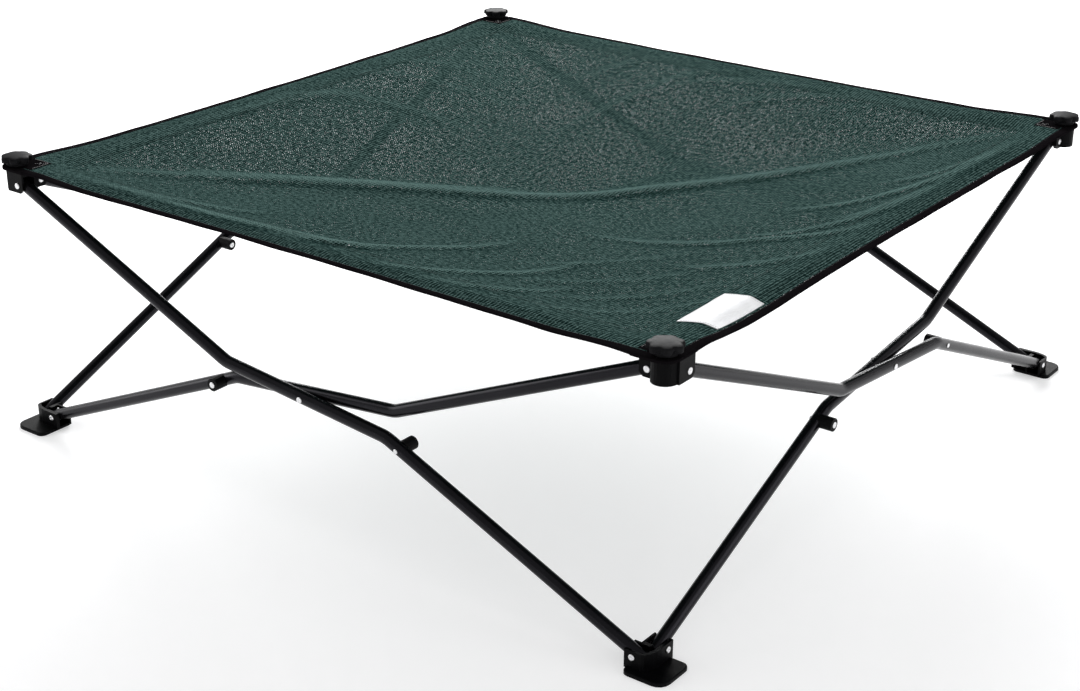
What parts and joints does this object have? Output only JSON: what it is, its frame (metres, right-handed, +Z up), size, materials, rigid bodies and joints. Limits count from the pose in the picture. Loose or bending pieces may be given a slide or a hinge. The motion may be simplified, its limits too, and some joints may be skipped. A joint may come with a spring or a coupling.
{
  "type": "folding raised dog bed",
  "caption": "Raised dog bed that folds: a sagging mesh mat clamped by star knobs at the corners of a square scissor frame of bent tubes.",
  "frame": {"origin": "on the floor, at the centre of the square of feet", "axes": "+Z up; X and Y parallel to the bed's sides, with -Y the side called front"},
  "size_m": [1.057, 1.057, 0.3871],
  "materials": {
    "black_tube": "semi-gloss black powder coat on steel tube",
    "black_plastic": "black moulded plastic, fine satin",
    "bumper_plastic": "matt black",
    "bright_rivet": "bright",
    "green_mesh": "knitted open mesh, see-through"
  },
  "bodies": {
    "front_outer": {"front_outer_tube": "black_tube", "bumper_front_outer": "bumper_plastic", "bumper_rivet_front_outer": "bright_rivet", "pivot_rivet_front": "bright_rivet"},
    "front_inner": {"front_inner_tube": "black_tube", "bumper_front_inner": "bumper_plastic", "bumper_rivet_front_inner": "bright_rivet"},
    "right_outer": {"right_outer_tube": "black_tube", "bumper_right_outer": "bumper_plastic", "bumper_rivet_right_outer": "bright_rivet"},
    "right_inner": {"right_inner_tube": "black_tube", "bumper_right_inner": "bumper_plastic", "bumper_rivet_right_inner": "bright_rivet", "pivot_rivet_right": "bright_rivet"},
    "rear_outer": {"rear_outer_tube": "black_tube", "bumper_rear_outer": "bumper_plastic", "bumper_rivet_rear_outer": "bright_rivet", "pivot_rivet_rear": "bright_rivet"},
    "rear_inner": {"rear_inner_tube": "black_tube", "bumper_rear_inner": "bumper_plastic", "bumper_rivet_rear_inner": "bright_rivet"},
    "left_outer": {"left_outer_tube": "black_tube", "bumper_left_outer": "bumper_plastic", "bumper_rivet_left_outer": "bright_rivet"},
    "left_inner": {"left_inner_tube": "black_tube", "bumper_left_inner": "bumper_plastic", "bumper_rivet_left_inner": "bright_rivet", "pivot_rivet_left": "bright_rivet"},
    "bracket_front_left": {"bracket_front_left": "black_plastic", "top_rivet_front_outer": "bright_rivet", "top_rivet_left_inner": "bright_rivet"},
    "foot_front_left": {"foot_front_left": "black_plastic", "foot_rivet_front_inner": "bright_rivet", "foot_rivet_left_outer": "bright_rivet"},
    "knob_front_left": {"knob_front_left": "black_plastic"},
    "bracket_front_right": {"bracket_front_right": "black_plastic", "top_rivet_right_outer": "bright_rivet", "top_rivet_front_inner": "bright_rivet"},
    "foot_front_right": {"foot_front_right": "black_plastic", "foot_rivet_right_inner": "bright_rivet", "foot_rivet_front_outer": "bright_rivet"},
    "knob_front_right": {"knob_front_right": "black_plastic"},
    "bracket_rear_right": {"bracket_rear_right": "black_plastic", "top_rivet_rear_outer": "bright_rivet", "top_rivet_right_inner": "bright_rivet"},
    "foot_rear_right": {"foot_rear_right": "black_plastic", "foot_rivet_rear_inner": "bright_rivet", "foot_rivet_right_outer": "bright_rivet"},
    "knob_rear_right": {"knob_rear_right": "black_plastic"},
    "bracket_rear_left": {"bracket_rear_left": "black_plastic", "top_rivet_left_outer": "bright_rivet", "top_rivet_rear_inner": "bright_rivet"},
    "foot_rear_left": {"foot_rear_left": "black_plastic", "foot_rivet_left_inner": "bright_rivet", "foot_rivet_rear_outer": "bright_rivet"},
    "knob_rear_left": {"knob_rear_left": "black_plastic"},
    "mat_front": {"mat_panel_front": "green_mesh"},
    "mat_right": {"mat_panel_right": "green_mesh"},
    "mat_rear": {"mat_panel_rear": "green_mesh"},
    "mat_left": {"mat_panel_left": "green_mesh"}
  },
  "joints": [
    {"name": "fold", "type": "hinge", "parent": "foot_front_right", "child": "front_outer", "pos_m": [0.481, -0.5068, 0.0175], "axis": [0, 1, 0], "range_deg": [0, 65]},
    {"name": "foot_front_right_to_right_inner", "type": "hinge", "parent": "foot_front_right", "child": "right_inner", "pos_m": [0.4902, -0.481, 0.0175], "axis": [1, 0, 0], "range_deg": [0, 65]},
    {"name": "pivot_front", "type": "hinge", "parent": "front_outer", "child": "front_inner", "pos_m": [0, -0.4985, 0.1848], "axis": [0, -1, 0], "range_deg": [0, 130]},
    {"name": "front_outer_to_bracket_front_left", "type": "hinge", "parent": "front_outer", "child": "bracket_front_left", "pos_m": [-0.481, -0.5068, 0.3521], "axis": [0, -1, 0], "range_deg": [0, 65]},
    {"name": "front_inner_to_bracket_front_right", "type": "hinge", "parent": "front_inner", "child": "bracket_front_right", "pos_m": [0.481, -0.4902, 0.3521], "axis": [0, 1, 0], "range_deg": [0, 65]},
    {"name": "front_inner_to_foot_front_left", "type": "hinge", "parent": "front_inner", "child": "foot_front_left", "pos_m": [-0.481, -0.4902, 0.0175], "axis": [0, 1, 0], "range_deg": [0, 65]},
    {"name": "pivot_right", "type": "hinge", "parent": "right_inner", "child": "right_outer", "pos_m": [0.4985, 0, 0.1848], "axis": [-1, 0, 0], "range_deg": [0, 130]},
    {"name": "right_inner_to_bracket_rear_right", "type": "hinge", "parent": "right_inner", "child": "bracket_rear_right", "pos_m": [0.4902, 0.481, 0.3521], "axis": [-1, 0, 0], "range_deg": [0, 65]},
    {"name": "right_outer_to_foot_rear_right", "type": "hinge", "parent": "right_outer", "child": "foot_rear_right", "pos_m": [0.5068, 0.481, 0.0175], "axis": [1, 0, 0], "range_deg": [0, 65]},
    {"name": "bracket_front_left_to_left_inner", "type": "hinge", "parent": "bracket_front_left", "child": "left_inner", "pos_m": [-0.4902, -0.481, 0.3521], "axis": [-1, 0, 0], "range_deg": [0, 65]},
    {"name": "pivot_left", "type": "hinge", "parent": "left_inner", "child": "left_outer", "pos_m": [-0.4985, 0, 0.1848], "axis": [1, 0, 0], "range_deg": [0, 130]},
    {"name": "left_inner_to_foot_rear_left", "type": "hinge", "parent": "left_inner", "child": "foot_rear_left", "pos_m": [-0.4902, 0.481, 0.0175], "axis": [1, 0, 0], "range_deg": [0, 65]},
    {"name": "left_outer_to_bracket_rear_left", "type": "hinge", "parent": "left_outer", "child": "bracket_rear_left", "pos_m": [-0.5068, 0.481, 0.3521], "axis": [-1, 0, 0], "range_deg": [0, 65]},
    {"name": "bracket_rear_right_to_rear_outer", "type": "hinge", "parent": "bracket_rear_right", "child": "rear_outer", "pos_m": [0.481, 0.5068, 0.3521], "axis": [0, -1, 0], "range_deg": [0, 65]},
    {"name": "pivot_rear", "type": "hinge", "parent": "rear_outer", "child": "rear_inner", "pos_m": [0, 0.4985, 0.1848], "axis": [0, 1, 0], "range_deg": [0, 130]},
    {"name": "mat_fold_front", "type": "hinge", "parent": "bracket_front_left", "child": "mat_front", "pos_m": [-0.481, -0.481, 0.36936], "axis": [-1, 0, 0], "range_deg": [0, 75.71], "deforming": ["mat_panel_front"]},
    {"name": "mat_fold_right", "type": "hinge", "parent": "bracket_front_right", "child": "mat_right", "pos_m": [0.481, -0.481, 0.36936], "axis": [0, -1, 0], "range_deg": [0, 75.71], "deforming": ["mat_panel_right"]},
    {"name": "mat_fold_rear", "type": "hinge", "parent": "bracket_rear_right", "child": "mat_rear", "pos_m": [0.481, 0.481, 0.36936], "axis": [1, 0, 0], "range_deg": [0, 75.71], "deforming": ["mat_panel_rear"]},
    {"name": "mat_fold_left", "type": "hinge", "parent": "bracket_rear_left", "child": "mat_left", "pos_m": [-0.481, 0.481, 0.36936], "axis": [0, 1, 0], "range_deg": [0, 75.71], "deforming": ["mat_panel_left"]},
    {"name": "knob_turn_front_left", "type": "hinge", "parent": "bracket_front_left", "child": "knob_front_left", "pos_m": [-0.5, -0.5, 0.3706], "axis": [0, 0, 1], "continuous": true},
    {"name": "knob_turn_front_right", "type": "hinge", "parent": "bracket_front_right", "child": "knob_front_right", "pos_m": [0.5, -0.5, 0.3706], "axis": [0, 0, 1], "continuous": true},
    {"name": "knob_turn_rear_right", "type": "hinge", "parent": "bracket_rear_right", "child": "knob_rear_right", "pos_m": [0.5, 0.5, 0.3706], "axis": [0, 0, 1], "continuous": true},
    {"name": "knob_turn_rear_left", "type": "hinge", "parent": "bracket_rear_left", "child": "knob_rear_left", "pos_m": [-0.5, 0.5, 0.3706], "axis": [0, 0, 1], "continuous": true}
  ],
  "couplings": [
    {"joint": "foot_front_right_to_right_inner", "follows": "fold", "ratio": 1},
    {"joint": "pivot_front", "follows": "fold", "ratio": 2},
    {"joint": "front_outer_to_bracket_front_left", "follows": "fold", "ratio": 1},
    {"joint": "front_inner_to_bracket_front_right", "follows": "fold", "ratio": 1},
    {"joint": "front_inner_to_foot_front_left", "follows": "fold", "ratio": 1},
    {"joint": "pivot_right", "follows": "fold", "ratio": 2},
    {"joint": "right_inner_to_bracket_rear_right", "follows": "fold", "ratio": 1},
    {"joint": "right_outer_to_foot_rear_right", "follows": "fold", "ratio": 1},
    {"joint": "bracket_front_left_to_left_inner", "follows": "fold", "ratio": 1},
    {"joint": "pivot_left", "follows": "fold", "ratio": 2},
    {"joint": "left_inner_to_foot_rear_left", "follows": "fold", "ratio": 1},
    {"joint": "left_outer_to_bracket_rear_left", "follows": "fold", "ratio": 1},
    {"joint": "bracket_rear_right_to_rear_outer", "follows": "fold", "ratio": 1},
    {"joint": "pivot_rear", "follows": "fold", "ratio": 2},
    {"joint": "mat_fold_front", "follows": "fold", "ratio": 1.1647},
    {"joint": "mat_fold_right", "follows": "fold", "ratio": 1.1647},
    {"joint": "mat_fold_rear", "follows": "fold", "ratio": 1.1647},
    {"joint": "mat_fold_left", "follows": "fold", "ratio": 1.1647}
  ]
}
